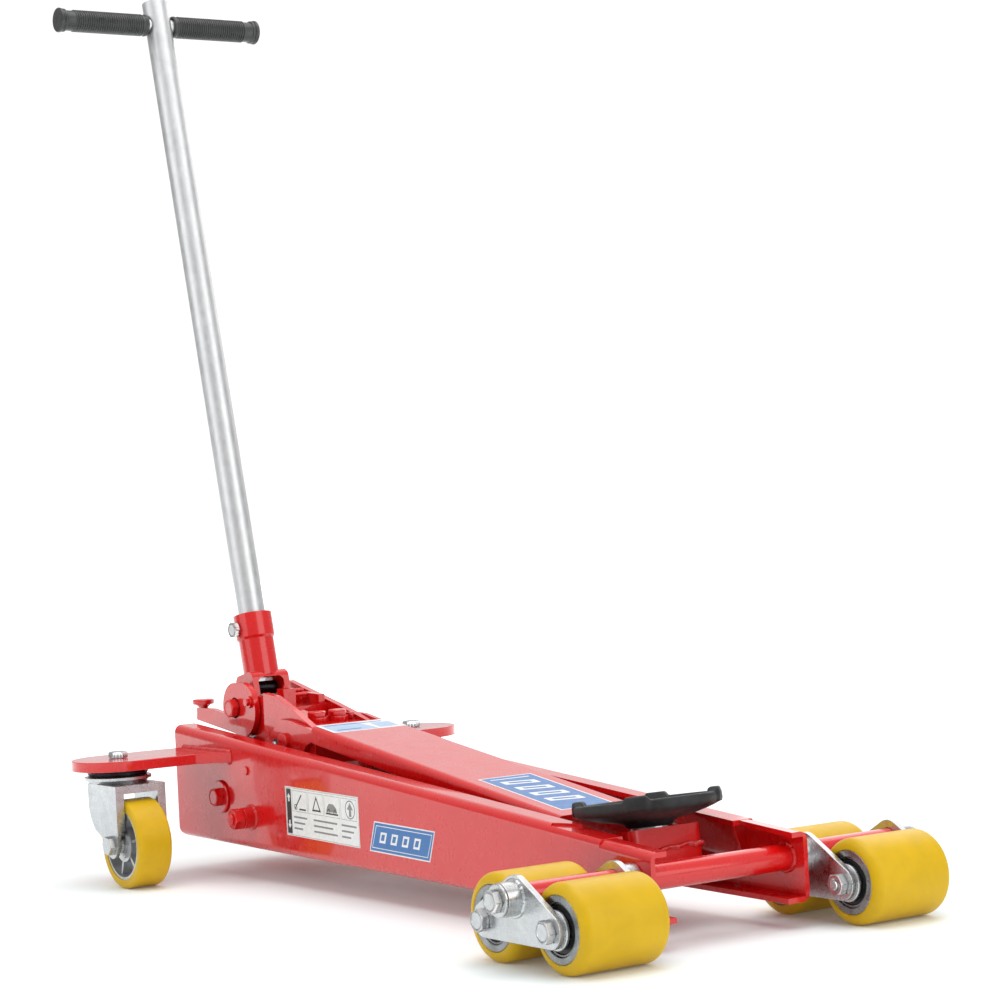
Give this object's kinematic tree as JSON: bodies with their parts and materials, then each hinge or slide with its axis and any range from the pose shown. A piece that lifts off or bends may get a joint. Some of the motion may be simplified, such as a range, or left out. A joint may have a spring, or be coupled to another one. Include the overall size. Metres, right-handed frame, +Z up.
{
  "type": "low-profile hydraulic trolley jack",
  "caption": "Long low hydraulic trolley jack with a lift arm and round saddle, foot pedal, tandem front rollers, swivel casters at the rear and a tall T-bar pump handle.",
  "frame": {"origin": "on the floor, at the middle of the jack's overall box", "axes": "+X towards the saddle and front rollers, +Y to the left, +Z up"},
  "size_m": [1.1364, 0.504, 1.06],
  "materials": {
    "red_paint": "gloss paint",
    "zinc": "bright zinc plate",
    "tube_steel": "galvanised",
    "dark_steel": "black oxide",
    "yellow_tread": "cast polyurethane",
    "caster_alloy": "die cast",
    "black_rubber": "ribbed rubber",
    "saddle_black": "moulded cover"
  },
  "bodies": {
    "frame": {"side_plate_right": "red_paint", "side_plate_left": "red_paint", "front_axle": "red_paint", "axle_end_bolts": "zinc", "rear_cross_plate": "red_paint", "tie_tube": "red_paint", "tie_nuts": "red_paint", "outrigger_right": "red_paint", "outrigger_left": "red_paint", "link_anchors": "zinc", "mount_bolts": "red_paint", "pump_block": "red_paint", "block_plugs": "red_paint", "valve_screws": "red_paint", "lift_cylinder": "dark_steel", "caster_bolts": "zinc", "caster_races": "dark_steel"},
    "arm": {"lift_arm": "red_paint", "arm_pivot_shaft": "red_paint", "crank_roller": "zinc", "saddle_pivot_pins": "zinc"},
    "carrier": {"saddle_carrier": "red_paint"},
    "saddle": {"saddle_stud": "zinc", "saddle_pad": "saddle_black"},
    "link_right": {"link_bar_right": "zinc"},
    "link_left": {"link_bar_left": "zinc"},
    "ram": {"ram_rod": "zinc"},
    "yoke": {"handle_socket": "red_paint", "yoke_bolt": "red_paint", "pump_roller": "dark_steel", "pedal_lever": "red_paint", "pedal_pad": "red_paint", "socket_bolt": "zinc"},
    "handle": {"handle_tube": "tube_steel", "crossbar": "tube_steel", "grip_right": "black_rubber", "grip_left": "black_rubber"},
    "pump": {"pump_piston": "zinc", "pump_spring": "dark_steel"},
    "caster_right": {"caster_fork_right": "zinc", "caster_axle_right": "zinc"},
    "caster_wheel_right": {"caster_rim_right": "caster_alloy", "caster_tyre_right": "yellow_tread"},
    "bogie_right": {"bogie_frame_right": "zinc", "bogie_bolts_right": "zinc"},
    "roller_front_right": {"roller_core_front_right": "dark_steel", "roller_tyre_front_right": "yellow_tread"},
    "roller_rear_right": {"roller_core_rear_right": "dark_steel", "roller_tyre_rear_right": "yellow_tread"},
    "caster_left": {"caster_fork_left": "zinc", "caster_axle_left": "zinc"},
    "caster_wheel_left": {"caster_rim_left": "caster_alloy", "caster_tyre_left": "yellow_tread"},
    "bogie_left": {"bogie_frame_left": "zinc", "bogie_bolts_left": "zinc"},
    "roller_front_left": {"roller_core_front_left": "dark_steel", "roller_tyre_front_left": "yellow_tread"},
    "roller_rear_left": {"roller_core_rear_left": "dark_steel", "roller_tyre_rear_left": "yellow_tread"}
  },
  "joints": [
    {"name": "arm_lift", "type": "hinge", "parent": "frame", "child": "arm", "pos_m": [-0.22576, 0, 0.154], "axis": [0, -1, 0], "range_deg": [0, 38]},
    {"name": "carrier_level", "type": "hinge", "parent": "arm", "child": "carrier", "pos_m": [0.37924, 0, 0.072], "axis": [0, -1, 0], "range_deg": [-38, 0]},
    {"name": "saddle_swivel", "type": "hinge", "parent": "carrier", "child": "saddle", "pos_m": [0.38228, 0, 0.09645], "axis": [-0.1219, 0, 0.9925], "continuous": true},
    {"name": "link_right_swing", "type": "hinge", "parent": "frame", "child": "link_right", "pos_m": [-0.24576, -0.06, 0.124], "axis": [0, -1, 0], "range_deg": [0, 38]},
    {"name": "link_left_swing", "type": "hinge", "parent": "frame", "child": "link_left", "pos_m": [-0.24576, 0.06, 0.124], "axis": [0, -1, 0], "range_deg": [0, 38]},
    {"name": "ram_slide", "type": "slide", "parent": "frame", "child": "ram", "axis": [1, 0, 0], "range_m": [0, 0.03631]},
    {"name": "handle_pump", "type": "hinge", "parent": "frame", "child": "yoke", "pos_m": [-0.35826, 0, 0.187], "axis": [0, -1, 0], "range_deg": [0, 60], "stiffness_Nm_per_rad": 11, "springref_deg": -42.97},
    {"name": "handle_twist", "type": "hinge", "parent": "yoke", "child": "handle", "pos_m": [-0.37855, 0, 0.27776], "axis": [-0.2181, 0, 0.9759], "range_deg": [0, 45]},
    {"name": "pump_slide", "type": "slide", "parent": "frame", "child": "pump", "axis": [0, 0, -1], "range_m": [0, 0.0143], "deforming": ["pump_spring"]},
    {"name": "caster_swivel_right", "type": "hinge", "parent": "frame", "child": "caster_right", "pos_m": [-0.35376, -0.2, 0.122], "axis": [0, 0, 1], "continuous": true},
    {"name": "caster_spin_right", "type": "hinge", "parent": "caster_right", "child": "caster_wheel_right", "pos_m": [-0.31376, -0.2, 0.05], "axis": [0, 1, 0], "continuous": true},
    {"name": "bogie_rock_right", "type": "hinge", "parent": "frame", "child": "bogie_right", "pos_m": [0.47624, -0.167, 0.065], "axis": [0, 1, 0], "range_deg": [-20, 20]},
    {"name": "roller_spin_front_right", "type": "hinge", "parent": "bogie_right", "child": "roller_front_right", "pos_m": [0.52724, -0.167, 0.041], "axis": [0, 1, 0], "continuous": true},
    {"name": "roller_spin_rear_right", "type": "hinge", "parent": "bogie_right", "child": "roller_rear_right", "pos_m": [0.42524, -0.167, 0.041], "axis": [0, 1, 0], "continuous": true},
    {"name": "caster_swivel_left", "type": "hinge", "parent": "frame", "child": "caster_left", "pos_m": [-0.35376, 0.2, 0.122], "axis": [0, 0, 1], "continuous": true},
    {"name": "caster_spin_left", "type": "hinge", "parent": "caster_left", "child": "caster_wheel_left", "pos_m": [-0.31376, 0.2, 0.05], "axis": [0, 1, 0], "continuous": true},
    {"name": "bogie_rock_left", "type": "hinge", "parent": "frame", "child": "bogie_left", "pos_m": [0.47624, 0.167, 0.065], "axis": [0, 1, 0], "range_deg": [-20, 20]},
    {"name": "roller_spin_front_left", "type": "hinge", "parent": "bogie_left", "child": "roller_front_left", "pos_m": [0.52724, 0.167, 0.041], "axis": [0, 1, 0], "continuous": true},
    {"name": "roller_spin_rear_left", "type": "hinge", "parent": "bogie_left", "child": "roller_rear_left", "pos_m": [0.42524, 0.167, 0.041], "axis": [0, 1, 0], "continuous": true}
  ],
  "couplings": [
    {"joint": "carrier_level", "follows": "arm_lift", "ratio": -1},
    {"joint": "link_right_swing", "follows": "arm_lift", "ratio": 1},
    {"joint": "link_left_swing", "follows": "arm_lift", "ratio": 1},
    {"joint": "ram_slide", "follows": "arm_lift", "m_per_rad": 0.053997},
    {"joint": "pump_slide", "follows": "handle_pump", "m_per_rad": 0.01356}
  ]
}
